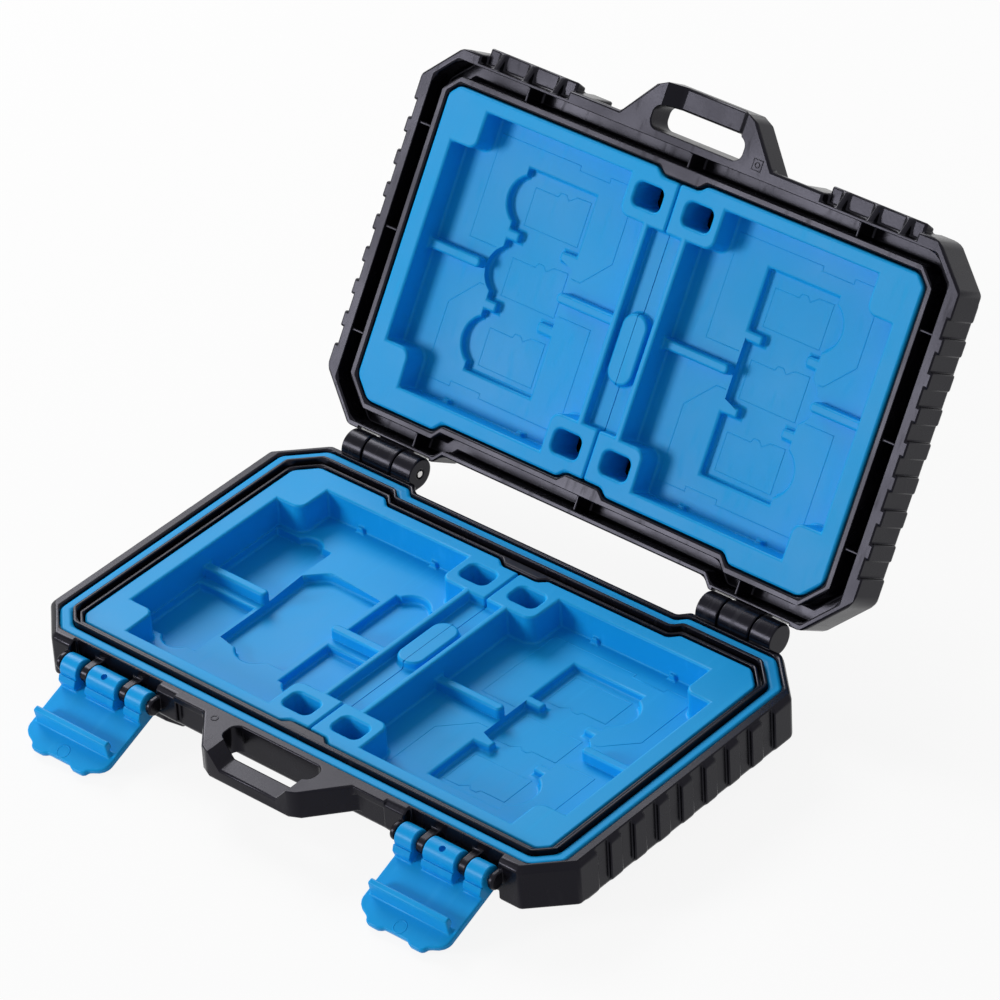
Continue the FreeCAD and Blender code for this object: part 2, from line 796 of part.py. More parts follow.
# Catch ledges on the lid, stiffened by three sloping gussets.
catch_profile = [
    (s.merge_depth - s.latch_wall, lid_level + s.gusset_root_drop),
    (-s.latch_wall, lid_level + s.gusset_root_drop),
    (-s.catch_reach, lid_level + s.catch_near),
    (-s.catch_foot, lid_level + s.catch_far),
    (s.merge_depth - s.latch_wall, lid_level + s.catch_far),
]
bays = []
for side in SIDES:
    word = "right" if side > 0 else "left"
    centre = on_side(side, s.latch_centre)
    pad(lid_shell, f"catch_{word}", centre - row_half, row_half * 2, [catch_profile], role="YZ_Plane")
    bay_back = -s.latch_wall
    bay_front = -(s.catch_reach + s.cut_margin)
    gusset_half = s.gusset_thickness / 2
    for end in SIDES:
        bay_start = centre + on_side(end, gusset_half)
        bay_end = centre + on_side(end, s.gusset_offset - gusset_half)
        bays.append(rectangle(bay_start, bay_end, bay_front, bay_back))
        bay_start = centre + on_side(end, s.gusset_offset + gusset_half)
        bays.append(rectangle(bay_start, centre + on_side(end, row_half), bay_front, bay_back))
pocket(lid_shell, "catch_bays", lid_level, s.catch_near, bays, along=True)

# Lid hinge knuckles: the middle of each barrel, with room for the base knuckles beside it.
roots = []
for side in SIDES:
    word = "right" if side > 0 else "left"
    centre = on_side(side, s.hinge_centre)
    cut_half = barrel_half + s.knuckle_gap
    hinge_cut(lid_shell, f"lid_relief_{word}", centre + cut_half, cut_half * 2, relief_radius)
    middle_half = s.knuckle_middle / 2
    barrel(lid_shell, f"lid_barrel_{word}", centre - middle_half, s.knuckle_middle)
    roots.append(
        rectangle(centre - middle_half, centre + middle_half, s.knuckle_root - s.merge_depth, s.hinge_line)
    )
root_low = lid_level + s.knuckle_root_drop
pad(lid_shell, "lid_knuckle_roots", root_low, hinge_level + s.hinge_radius - root_low, roots)
hinge_cut(lid_shell, "lid_bores", barrel_end, barrel_end * 2, hinge_bore)
side_bands(lid_shell, lid_level, s.lid_height, True)


def tray_blank(label, side, top, hollow_depth):
    """Insert half with its main pocket, corner blocks, wells, centre channel and boss half."""
    body = new_body(label)
    floor = hollow_depth + s.tray_skin + s.chip_recess_depth
    rear_middle = s.tray_rear - s.tray_step
    half = s.tray_half_length
    plan = [
        (s.seam_half_gap, s.tab_depth - s.tray_front),
        (s.tab_tip_half, s.tab_depth - s.tray_front),
        (s.tab_root_half, -s.tray_front),
        (half - s.tray_front_corner, -s.tray_front),
        (half, s.tray_front_corner - s.tray_front),
        (half, s.tray_rear - s.tray_rear_corner),
        (half - s.tray_rear_corner, s.tray_rear),
        (s.ear_start, s.tray_rear),
        (s.ear_start - s.ear_slope, rear_middle),
        (s.tab_root_half, rear_middle),
        (s.tab_tip_half, rear_middle - s.tab_depth),
        (s.seam_half_gap, rear_middle - s.tab_depth),
    ]
    pad(body, "blank", ZERO, top, [[(on_side(side, x), y) for x, y in plan]])
    low = -s.pocket_front
    high = s.pocket_rear
    block = s.pocket_outer - s.corner_block_length
    post = s.pocket_inner + s.post_length
    main = [
        (post, low),
        (block, low),
        (block, low + s.corner_block_width),
        (s.pocket_outer, low + s.corner_block_width),
        (s.pocket_outer, high - s.corner_block_width),
        (block, high - s.corner_block_width),
        (block, high),
        (post, high),
        (post, high - s.post_width),
        (s.pocket_inner, high - s.post_width),
        (s.pocket_inner, low + s.post_width),
        (post, low + s.post_width),
    ]
    pocket(body, "main_pocket", top, top - floor, [[(on_side(side, x), y) for x, y in main]])
    noses = [
        (block, low + s.corner_block_width),
        (block, high - s.corner_block_width),
        (post, high - s.post_width),
        (post, low + s.post_width),
    ]
    round_upright(body, "block_noses", s.block_radius, [(on_side(side, x), y) for x, y in noses])
    wells = []
    well_corners = []
    for end in SIDES:
        middle = on_side(end, s.well_offset) - s.card_shift
        well = rectangle(
            on_side(side, s.well_centre - s.well_length / 2),
            on_side(side, s.well_centre + s.well_length / 2),
            middle - s.well_width / 2,
            middle + s.well_width / 2,
        )
        wells.append(well)
        well_corners += well
    pocket(body, "wells", top, top + s.tray_skin, wells)
    round_upright(body, "well_corners", s.well_radius, well_corners)
    channel = rectangle(
        ZERO,
        on_side(side, s.channel_half),
        -(s.card_shift + s.channel_half_length),
        s.channel_half_length - s.card_shift,
    )
    pocket(body, "channel", top, s.channel_depth, [channel])
    boss = rectangle(
        on_side(side, s.seam_half_gap),
        on_side(side, s.boss_half),
        s.boss_centre - s.boss_half_length,
        s.boss_centre + s.boss_half_length,
    )
    pad(body, "boss", top - s.channel_depth, s.channel_depth - s.boss_drop, [boss])
    round_upright(body, "boss_ends", s.boss_radius, boss[1:3])
    hollow = rectangle(
        on_side(side, s.skirt),
        on_side(side, half - s.tray_rear_corner),
        s.tab_depth + s.skirt - s.tray_front,
        rear_middle - s.tab_depth - s.skirt,
    )
    pocket(body, "underside", ZERO, hollow_depth, [hollow], along=True)
    return body, floor


def tray_floor_details(body, side, floor, dividers):
    """Low dividers on the pocket floor and two small nubs at the rear wall."""
    ribs = []
    ends = []
    for start, end in dividers:
        rib = rectangle(
            on_side(side, start),
            on_side(side, end),
            -(s.card_shift + s.divider_thickness / 2),
            s.divider_thickness / 2 - s.card_shift,
        )
        ribs.append(rib)
        ends += rib[1:3]
    pad(body, "dividers", floor - s.merge_depth, s.divider_height + s.merge_depth, ribs)
    round_upright(body, "divider_ends", s.divider_radius, ends)
    wall = s.pocket_rear
    nubs = []
    for end in SIDES:
        middle = on_side(side, s.card_centre + on_side(end, s.nub_offset))
        nubs.append(
            rectangle(
                middle - s.nub_width / 2,
                middle + s.nub_width / 2,
                wall - s.nub_reach,
                wall + s.merge_depth,
            )
        )
    pad(body, "nubs", floor - s.merge_depth, s.nub_height + s.merge_depth, nubs)


def card_tray(label, side, top, hollow_depth):
    """Insert half with three small card places whose finger scallops face outwards."""
    body, floor = tray_blank(label, side, top, hollow_depth)
    near = s.card_centre - s.card_length / 2
    far = s.card_centre + s.card_length / 2
    low = -(s.card_shift + s.card_total_width / 2)
    high = s.card_total_width / 2 - s.card_shift
    tab_half = s.card_tab / 2
    lower = -(s.card_shift + s.card_pitch / 2)
    upper = s.card_pitch / 2 - s.card_shift
    places = [(near, low), (far, low)]
    for middle in (lower, upper):
        places += [(far, middle - tab_half), (far - s.short_tab, middle - tab_half)]
        places += [(far - s.short_tab, middle + tab_half), (far, middle + tab_half)]
    places += [(far, high), (near, high)]
    for middle in (upper, lower):
        places += [(near, middle + tab_half), (near + s.long_tab, middle + tab_half)]
        places += [(near + s.long_tab, middle - tab_half), (near, middle - tab_half)]
    pocket(body, "card_places", floor, s.card_recess_depth, [[(on_side(side, x), y) for x, y in places]])
    scallop_x = on_side(side, far + s.scallop_reach - s.scallop_radius)
    scallops = [(scallop_x, s.card_pitch * step - s.card_shift, s.scallop_radius) for step in (-1, 0, 1)]
    pocket(body, "finger_scallops", floor, s.card_recess_depth, circles=scallops)
    dividers = [
        (s.pocket_inner - s.merge_depth, near),
        (s.pocket_outer + s.merge_depth, far + s.scallop_reach),
    ]
    tray_floor_details(body, side, floor, dividers)
    return body


def chip_tray(label, side, top, hollow_depth):
    """Insert half with one large, two medium and two small chip card places."""
    body, floor = tray_blank(label, side, top, hollow_depth)
    low = -(s.card_shift + s.chip_half_width)
    high = s.chip_half_width - s.card_shift
    large = [
        (s.chip_near, low),
        (s.chip_far, low),
        (s.chip_far, high - s.chip_corner),
        (s.chip_far - s.chip_corner, high),
        (s.chip_near, high),
    ]
    places = [[(on_side(side, x), y) for x, y in large]]
    scallops = [
        (
            on_side(side, s.chip_scallop_at),
            low + s.chip_scallop_radius - s.chip_scallop_reach,
            s.chip_scallop_radius,
        )
    ]
    kinds = (
        (s.medium_near, s.medium_far, s.medium_start, s.medium_end,
         s.medium_scallop_at, s.medium_scallop_radius, s.medium_scallop_reach),
        (s.small_near, s.small_far, s.small_start, s.small_end,
         s.small_scallop_at, s.small_scallop_radius, s.small_scallop_reach),
    )
    for near, far, start, end, at, radius, reach in kinds:
        for way in SIDES:
            inner = on_side(way, start) - s.card_shift
            outer = on_side(way, end) - s.card_shift
            places.append(rectangle(on_side(side, near), on_side(side, far), inner, outer))
            scallops.append((on_side(side, at), outer + on_side(way, reach - radius), radius))
    pocket(body, "chip_places", floor, s.chip_recess_depth, places)
    pocket(body, "finger_scallops", floor, s.chip_recess_depth, circles=scallops)
    dividers = [
        (s.pocket_inner - s.merge_depth, s.chip_near),
        (s.pocket_outer + s.merge_depth, s.chip_far),
    ]
    tray_floor_details(body, side, floor, dividers)
    return body


base_tray_left = chip_tray("base_tray_left", -1, s.base_tray_thickness, s.base_hollow)
base_tray_right = card_tray("base_tray_right", 1, s.base_tray_thickness, s.base_hollow)
lid_tray_left = card_tray("lid_tray_left", 1, s.lid_tray_thickness, s.lid_hollow)
lid_tray_right = card_tray("lid_tray_right", -1, s.lid_tray_thickness, s.lid_hollow)


def make_latch(label):
    """Latch drawn about its pin line, with the plate reaching towards -Y."""
    body = new_body(label)
    right = [(s.latch_half, s.latch_tail)]
    right += [(s.latch_half * wide, -(s.latch_length * far)) for wide, far in LATCH_END_SHARES]
    plan = right + [(-x, y) for x, y in reversed(right)]
    plate_top = -s.plate_drop
    pad(body, "plate", plate_top - s.plate_thickness, s.plate_thickness, [plan])
    width = s.latch_half * 2
    pad(body, "clip_barrel", -s.latch_half, width, circles=[(ZERO, ZERO, s.clip_radius)], role="YZ_Plane")
    toe = [
        (-s.toe_reach, plate_top - s.merge_depth),
        (-s.toe_reach, -s.toe_shoulder_drop),
        (-s.toe_crest, s.toe_crest_rise),
        (-s.toe_notch, -s.toe_notch_drop),
        (ZERO, ZERO),
        (s.latch_tail, plate_top),
        (s.latch_tail, plate_top - s.merge_depth),
    ]
    pad(body, "clip_toe", -s.latch_half, width, [toe], role="YZ_Plane")
    gaps = []
    for side in SIDES:
        near = on_side(side, s.clip_gap_start)
        far = on_side(side, s.clip_gap_start + s.clip_gap)
        gaps.append(rectangle(near, far, -(s.toe_reach + s.cut_margin), s.clip_radius + s.cut_margin))
    gap_top = s.clip_radius + s.cut_margin
    pocket(body, "clip_gaps", gap_top, gap_top - plate_top, gaps)
    hook = [
        (-s.hook_root, plate_top - s.merge_depth),
        (-s.hook_root, plate_top + s.hook_undercut),
        (-s.hook_tip, plate_top + s.hook_lip),
        (-s.hook_tip, plate_top + s.hook_height),
        (-s.hook_back, plate_top + s.hook_height),
        (-s.hook_foot, plate_top),
        (-s.hook_foot, plate_top - s.merge_depth),
    ]
    pad(body, "hook", -s.hook_half, s.hook_half * 2, [hook], role="YZ_Plane")
    bore = s.latch_pin_radius + s.pin_clearance
    pocket(body, "pin_bore", s.latch_half, width, circles=[(ZERO, ZERO, bore)], role="YZ_Plane")
    pocket(body, "clip_hole", s.clip_radius, s.clip_hole_depth, circles=[(ZERO, ZERO, s.clip_hole_radius)])
    return body


latches = {side: make_latch("latch_right" if side > 0 else "latch_left") for side in SIDES}


def make_pin(label, start, radius, length, y, z):
    """Steel pin along X."""
    pin = doc.addObject("Part::Cylinder", label)
    pin.Label = label
    pin.setExpression("Radius", radius.text)
    pin.setExpression("Height", length.text)
    pin.Placement = FreeCAD.Placement(FreeCAD.Vector(), FreeCAD.Rotation(FreeCAD.Vector(0, 1, 0), 90))
    for axis, size in (("x", start), ("y", y), ("z", z)):
        pin.setExpression(f"Placement.Base.{axis}", size.text)
    return pin


pins = []
for side in SIDES:
    word = "right" if side > 0 else "left"
    pin_length = barrel_half * 2 - s.blind_wall
    inner = on_side(side, s.hinge_centre - barrel_half)
    start = inner if side > 0 else inner - pin_length
    label = f"hinge_pin_{word}"
    pins.append(make_pin(label, start, s.hinge_pin_radius, pin_length, s.hinge_line, hinge_level))
    start = on_side(side, s.latch_centre) - s.latch_pin_half
    latch_pin_length = s.latch_pin_half * 2
    label = f"latch_pin_{word}"
    pins.append(make_pin(label, start, s.latch_pin_radius, latch_pin_length, -s.latch_line, s.latch_level))

# Rest position: the lid pieces turn open about the hinge line, the latches hang on their pins.
X_AXIS = FreeCAD.Vector(1, 0, 0)
Y_AXIS = FreeCAD.Vector(0, 1, 0)
hinge_point = FreeCAD.Vector(0, s.hinge_line.value, hinge_level.value)
opened = FreeCAD.Placement(
    FreeCAD.Vector(), FreeCAD.Rotation(X_AXIS, -s.lid_open_angle.value), hinge_point
)
lid_floor = lid_top - s.floor_thickness
turned_over = FreeCAD.Placement(FreeCAD.Vector(0, 0, lid_floor.value), FreeCAD.Rotation(Y_AXIS, 180))
lid_shell.Placement = opened
for tray in (lid_tray_left, lid_tray_right):
    tray.Placement = opened.multiply(turned_over)
for tray in (base_tray_left, base_tray_right):
    tray.setExpression("Placement.Base.z", s.floor_thickness.text)
for side, latch in latches.items():
    latch.Placement = FreeCAD.Placement(
        FreeCAD.Vector(on_side(side, s.latch_centre).value, -s.latch_line.value, s.latch_level.value),
        FreeCAD.Rotation(X_AXIS, s.latch_open_angle.value),
    )
doc.recompute()

pieces = [base_shell, base_gasket, base_tray_left, base_tray_right, lid_shell, lid_tray_left, lid_tray_right]
pieces += list(latches.values()) + pins
for item in doc.Objects:
    if "Invalid" in item.State or "Error" in item.State:
        raise RuntimeError(f"{item.Label} did not compute")
os.makedirs("parts", exist_ok=True)
for piece in pieces:
    if piece.Shape.isNull() or not piece.Shape.isValid() or len(piece.Shape.Solids) != 1:
        raise RuntimeError(f"{piece.Label} is not one sound solid")
    piece.Shape.exportStep(f"parts/{piece.Label}.step")
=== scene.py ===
"""Dresses the latched memory card case: softened mouldings, plastics, steel pins and a white studio."""
import json
import math

import bmesh
import bpy
from mathutils import Matrix, Quaternion, Vector
from mathutils.geometry import delaunay_2d_cdt, intersect_point_line


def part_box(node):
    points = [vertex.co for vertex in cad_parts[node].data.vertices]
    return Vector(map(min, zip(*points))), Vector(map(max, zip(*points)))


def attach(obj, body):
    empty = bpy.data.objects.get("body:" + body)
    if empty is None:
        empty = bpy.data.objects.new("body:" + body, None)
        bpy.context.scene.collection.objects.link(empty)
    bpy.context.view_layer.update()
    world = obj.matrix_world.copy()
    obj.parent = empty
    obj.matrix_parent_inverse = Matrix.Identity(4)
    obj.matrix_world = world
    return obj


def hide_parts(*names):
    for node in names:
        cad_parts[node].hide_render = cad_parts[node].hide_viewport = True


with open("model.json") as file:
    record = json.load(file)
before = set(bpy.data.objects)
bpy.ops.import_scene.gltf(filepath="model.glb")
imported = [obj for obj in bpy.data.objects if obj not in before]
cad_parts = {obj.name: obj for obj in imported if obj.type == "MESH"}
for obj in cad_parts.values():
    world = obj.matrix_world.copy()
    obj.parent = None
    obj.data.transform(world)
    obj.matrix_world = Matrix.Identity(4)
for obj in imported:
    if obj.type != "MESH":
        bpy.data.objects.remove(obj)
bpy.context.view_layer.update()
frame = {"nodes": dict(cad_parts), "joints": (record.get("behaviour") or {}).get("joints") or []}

MM = 0.001


# Base shell: the lower half of the case, moulded in black plastic, which carries all the other pieces.
# The mould breaks its edges, most where the walls leave room for it and least on the thin seal lips.
SAME_POINT = 0.002 * MM
FLAT_ANGLE = math.radians(1.5)


def merged_copy(node):
    """Mesh of a CAD node as one closed skin of flat faces."""
    skin = bmesh.new()
    skin.from_mesh(frame["nodes"][node].data)
    bmesh.ops.remove_doubles(skin, verts=skin.verts, dist=SAME_POINT)
    bmesh.ops.dissolve_degenerate(skin, edges=skin.edges, dist=SAME_POINT)
    bmesh.ops.dissolve_limit(skin, angle_limit=FLAT_ANGLE, verts=skin.verts, edges=skin.edges)
    skin.normal_update()
    return skin


def nearest_crossing(face, start, along, inward, skip):
    """Edge of a face first met from a point on it in one direction, with the distance to it."""
    found, nearest = None, math.inf
    for edge in face.edges:
        if edge in skip:
            continue
        first, last = (corner.co - start for corner in edge.verts)
        first_x, last_x = first.dot(along), last.dot(along)
        if first_x * last_x > 0 or first_x == last_x:
            continue
        share = first_x / (first_x - last_x)
        distance = first.dot(inward) * (1 - share) + last.dot(inward) * share
        if SAME_POINT < distance < nearest:
            found, nearest = edge, distance
    return found, nearest


MOST_FACES_CROSSED = 12


def far_side(edge, face, share):
    """Edge across the flat surface from a point on an edge, with the width up to it."""
    loop = next(item for item in edge.link_loops if item.face == face)
    first, last = loop.vert.co, loop.link_loop_next.vert.co
    along = (last - first).normalized()
    inward = face.normal.cross(along)
    start = first.lerp(last, share)
    neighbours = {other for corner in edge.verts for other in corner.link_edges}
    skip, width = set(neighbours), 0.0
    for _ in range(MOST_FACES_CROSSED):
        crossed, distance = nearest_crossing(face, start, along, inward, skip)
        if crossed is None:
            break
        width += distance
        if crossed.calc_face_angle() > FLAT_ANGLE:
            return crossed, width
        start = start + inward * distance
        face = next(item for item in crossed.link_faces if item != face)
        skip = neighbours | {crossed}
    return None, math.inf


# Edges that turn by less than this where they meet carry on the same line.
ALONG_ANGLE = math.radians(40)


def free_length(edge):
    """Length of the shortest edge that leaves the ends of an edge at a clear angle."""
    shortest = math.inf
    for corner in edge.verts:
        away = (edge.other_vert(corner).co - corner.co).normalized()
        for other in corner.link_edges:
            if other is edge or other.calc_face_angle() < FLAT_ANGLE:
                continue
            side = (other.other_vert(corner).co - corner.co).normalized()
            if ALONG_ANGLE < away.angle(side) < math.pi - ALONG_ANGLE:
                shortest = min(shortest, other.calc_length())
    return shortest


# A rounding takes up these shares, at most, of an edge beside it and of the surface across it.
# The width of the surface is probed at several places along the edge.
LENGTH_SHARE = 0.45
WIDTH_SHARE = 0.38
PROBE_SHARES = (0.06, 0.28, 0.5, 0.72, 0.94)


def rounding_limits(edges):
    """Largest rounding that fits at each edge between the edges across its two faces."""
    limits = {edge: free_length(edge) * LENGTH_SHARE for edge in edges}
    for edge in edges:
        for face in edge.link_faces:
            for share in PROBE_SHARES:
                across, width = far_side(edge, face, share)
                for end in (edge, across):
                    if end in limits:
                        limits[end] = min(limits[end], width * WIDTH_SHARE)
    return limits


# Along a line of edges a rounding grows by at most these shares of the shorter edge.
STRAIGHT_ANGLE = math.radians(2)
STRAIGHT_GROWTH_SHARE = 0.5
CURVED_GROWTH_SHARE = 0.4
GROWTH_PASSES = 12


def edges_in_line(edge, limits):
    """Edges that carry on the line of an edge, each with the rounding that may be gained from it."""
    for corner in edge.verts:
        away = edge.other_vert(corner).co - corner.co
        for other in corner.link_edges:
            if other is edge or other not in limits:
                continue
            onward = corner.co - other.other_vert(corner).co
            turn = away.angle(onward)
            if turn < ALONG_ANGLE:
                straight = turn < STRAIGHT_ANGLE
                growth = STRAIGHT_GROWTH_SHARE if straight else CURVED_GROWTH_SHARE * math.sin(turn)
                yield other, min(away.length, onward.length) * growth


def even_out(limits):
    """Lets the rounding grow only slowly from one edge to the next along a line of edges."""
    for _ in range(GROWTH_PASSES):
        for edge in limits:
            for other, gain in edges_in_line(edge, limits):
                limits[edge] = min(limits[edge], limits[other] + gain)


def number_flats(skin):
    """Numbers the flat surfaces of a skin and gives the normal and area of each."""
    number = skin.faces.layers.int.new("flat")
    normals, areas = {}, {}
    for seed in sorted(skin.faces, key=lambda face: -face.calc_area()):
        if seed[number]:
            continue
        count = len(normals) + 1
        normals[count], areas[count] = seed.normal.copy(), 0.0
        seed[number] = count
        waiting = [seed]
        while waiting:
            face = waiting.pop()
            areas[count] += face.calc_area()
            for other in (item for edge in face.edges for item in edge.link_faces):
                if not other[number] and other.normal.angle(seed.normal) < FLAT_ANGLE:
                    other[number] = count
                    waiting.append(other)
    return normals, areas


def lies_inside(place, sides):
    """True for a flat point inside an outline that is given as its sides in any order."""
    inside = False
    for first, last in sides:
        if (first.y > place.y) != (last.y > place.y):
            share = (place.y - first.y) / (last.y - first.y)
            if place.x < first.x + (last.x - first.x) * share:
                inside = not inside
    return inside


UPRIGHT = Vector((0.0, 0.0, 1.0))
# This kind of triangulation leaves out what lies outside the outline, but not its holes.
WITHIN_OUTLINE = 1


def refill_flat(skin, faces, normal, count):
    """Fills one flat surface afresh inside its outline and gives the places where that crosses itself."""
    kept = set(faces)
    sides_of_faces = dict.fromkeys(edge for face in faces for edge in face.edges)
    outline = [edge for edge in sides_of_faces if sum(face in kept for face in edge.link_faces) == 1]
    corners = list(dict.fromkeys(corner for edge in outline for corner in edge.verts))
    order = {corner: index for index, corner in enumerate(corners)}
    upright = normal.rotation_difference(UPRIGHT)
    raised = [upright @ corner.co for corner in corners]
    level = sum(place.z for place in raised) / len(raised)
    flat = [place.to_2d() / MM for place in raised]
    ends = [tuple(order[corner] for corner in edge.verts) for edge in outline]
    sides = [(flat[first], flat[last]) for first, last in ends]
    points, _, triangles, sources, _, _ = delaunay_2d_cdt(flat, ends, [], WITHIN_OUTLINE, SAME_POINT)
    bmesh.ops.delete(skin, geom=faces, context="FACES_ONLY")
    number = skin.faces.layers.int["flat"]
    back = upright.inverted()
    used = {}
    for triangle in triangles:
        middle = sum((points[index] for index in triangle), Vector((0.0, 0.0))) / len(triangle)
        if not lies_inside(middle, sides):
            continue
        for index in triangle:
            if index not in used:
                x, y = points[index] * MM
                place = back @ Vector((x, y, level))
                used[index] = corners[sources[index][0]] if sources[index] else skin.verts.new(place)
        face = skin.faces.new([used[index] for index in triangle])
        face[number] = count
        face.smooth = True
    met = [points[index] * MM for index in range(len(points)) if not sources[index]]
    return [back @ Vector((x, y, level)) for x, y in met]


# Until a piece is shaded, the material slot of a face tells a flat surface from a rounding.
FLAT_SLOT = 0
ROUND_SLOT = 1
QUAD_CORNERS = 4


def refill_flats(mesh, normals):
    """Fills every flat surface of a rounded mesh afresh and gives the places where outlines cross."""
    skin = bmesh.new()
    skin.from_mesh(mesh)
    number = skin.faces.layers.int["flat"]
    flats = {}
    for face in skin.faces:
        if face.material_index == FLAT_SLOT:
            flats.setdefault(face[number], []).append(face)
    crossings = []
    for count, faces in flats.items():
        if len(faces) > 1 or len(faces[0].verts) > QUAD_CORNERS:
            crossings += refill_flat(skin, faces, normals[count], count)
    loose = [edge for edge in skin.edges if not edge.link_faces]
    bmesh.ops.delete(skin, geom=loose, context="EDGES")
    skin.to_mesh(mesh)
    skin.free()
    return crossings


def gap_to_edge(place, edge):
    """Distance from a place to the nearest point of an edge."""
    first, last = (corner.co for corner in edge.verts)
    nearest, share = intersect_point_line(place, first, last)
    if share < 0:
        nearest = first
    elif share > 1:
        nearest = last
    return (place - nearest).length


# Surfaces that meet at less than the sharp angle are shaded as one, and sharper edges may be rounded.
SHARP_ANGLE = math.radians(28)
ROUNDING_REACH = math.radians(60)


def shade_by_flats(mesh, normals, areas):
    """Keeps the flat surfaces flat to the eye and lets the roundings turn between them."""
    numbers = [item.value for item in mesh.attributes["flat"].data]
    touching = {}
    for face in mesh.polygons:
        if face.material_index == FLAT_SLOT:
            for corner in face.vertices:
                touching.setdefault(corner, set()).add(numbers[face.index])
    plain = [corner.normal.copy() for corner in mesh.vertices]
    shading = []
    for face in mesh.polygons:
        rounding = face.material_index == ROUND_SLOT
        own = face.normal if rounding else normals[numbers[face.index]]
        reach = ROUNDING_REACH if rounding else SHARP_ANGLE
        for corner in face.vertices:
            near = [count for count in touching.get(corner, ()) if normals[count].angle(own, 0.0) < reach]
            mean = sum((normals[count] * areas[count] for count in near), Vector())
            shading.append(mean.normalized() if near else plain[corner])
    mesh.normals_split_custom_set(shading)
    mesh.attributes.remove(mesh.attributes["flat"])
    mesh.polygons.foreach_set("material_index", [FLAT_SLOT] * len(mesh.polygons))


lid_hinge = next(joint for joint in frame["joints"] if joint["name"] == "lid_hinge")
lid_turn = Matrix.Rotation(-math.radians(lid_hinge["range_deg"][1]), 4, "X")
MOULD_PULL = {"base": UPRIGHT, "lid": lid_turn.to_3x3() @ UPRIGHT}
CORNER_LEAN = math.radians(25)
CORNER_TURN = math.radians(60)


def is_corner(edge, body):
    """True for a blunt corner of a wall, which runs the way the mould opens."""
    first, last = (corner.co for corner in edge.verts)
    lean = (last - first).angle(MOULD_PULL[body])
    return min(lean, math.pi - lean) < CORNER_LEAN and edge.calc_face_angle() < CORNER_TURN


SHORTEST_EDGE = 0.085 * MM


def planned_roundings(skin, body, radius, corner_radius, wanted):
    """Rounding of each sharp edge: as large as the piece asks for and its surroundings allow."""
    sharp = [edge for edge in skin.edges
             if edge.calc_face_angle() > SHARP_ANGLE and edge.calc_length() > SHORTEST_EDGE]
    if wanted:
        sharp = [edge for edge in sharp if wanted(edge)]
    limits = rounding_limits(sharp)
    for edge in sharp:
        own = corner_radius if corner_radius and is_corner(edge, body) else radius
        limits[edge] = min(limits[edge], own)
    even_out(limits)
    return limits


def linked_object(name, content):
    """Object of the scene that holds a mesh, a lamp or a lens."""
    made = bpy.data.objects.new(name, content)
    bpy.context.scene.collection.objects.link(made)
    return made


def finished_mesh(piece):
    """Plain mesh of a piece with its modifiers carried out."""
    graph = bpy.context.evaluated_depsgraph_get()
    return bpy.data.meshes.new_from_object(piece.evaluated_get(graph))


def add_bevel(piece, width, segments):
    """Rounds the edges of a piece by their weights, and marks the new faces by their material slot."""
    bevel = piece.modifiers.new("rounding", "BEVEL")
    bevel.limit_method = "WEIGHT"
    bevel.width = width
    bevel.segments = segments
    bevel.material = ROUND_SLOT
    bevel.use_clamp_overlap = False
    bevel.loop_slide = False


# Smaller roundings are left out, and those near a place where outlines cross are eased.
LEAST_ROUNDING = 0.035 * MM
EASING_ROUNDS = 6
EASING_REACH_SHARE = 1.6
EASING_SHARE = 0.6


def softened(name, node, body, radius, segments, material, wanted=None, corner_radius=0.0):
    """Stands a copy of a CAD node, with its sharp edges rounded, in the place of the node."""
    skin = merged_copy(node)
    weight = skin.edges.layers.float.new("bevel_weight_edge")
    limits = planned_roundings(skin, body, radius, corner_radius, wanted)
    for face in skin.faces:
        face.smooth = True
    normals, areas = number_flats(skin)
    mesh = bpy.data.meshes.new(name)
    for _ in (FLAT_SLOT, ROUND_SLOT):
        mesh.materials.append(None)
    piece = linked_object(name, mesh)
    widest = max(radius, corner_radius)
    add_bevel(piece, widest, segments)
    for _ in range(EASING_ROUNDS):
        for edge, limit in limits.items():
            edge[weight] = limit / widest if limit > LEAST_ROUNDING else 0.0
        skin.to_mesh(mesh)
        finished = finished_mesh(piece)
        crossings = refill_flats(finished, normals)
        if not crossings:
            break
        for edge in limits:
            if min(gap_to_edge(place, edge) for place in crossings) < radius * EASING_REACH_SHARE:
                limits[edge] *= EASING_SHARE
        even_out(limits)
    skin.free()
    piece.modifiers.clear()
    piece.data = finished
    shade_by_flats(finished, normals, areas)
    finished.name = name
    finished.materials.clear()
    finished.materials.append(material)
    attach(piece, body)
    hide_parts(node)


def set_or_link(tree, socket, value):
    """Sets a socket to a number, or links it to the socket given as its value."""
    if isinstance(value, (int, float)):
        socket.default_value = value
    else:
        tree.links.new(value, socket)


def noise(tree, coordinates, scale, detail):
    """Noise texture on the given coordinates."""
    node = tree.nodes.new("ShaderNodeTexNoise")
    tree.links.new(coordinates, node.inputs["Vector"])
    set_or_link(tree, node.inputs["Scale"], scale)
    node.inputs["Detail"].default_value = detail
    return node.outputs["Fac"]


def remapped(tree, value, from_limits, to_limits):
    """Value carried from one pair of limits to another, each limit a number or a socket."""
    node = tree.nodes.new("ShaderNodeMapRange")
    tree.links.new(value, node.inputs["Value"])
    labels = ("From Min", "From Max", "To Min", "To Max")
    for label, limit in zip(labels, (*from_limits, *to_limits)):
        set_or_link(tree, node.inputs[label], limit)
    return node.outputs["Result"]


FIRST_COLOUR_INPUT = 6
SECOND_COLOUR_INPUT = 7
COLOUR_OUTPUT = 2


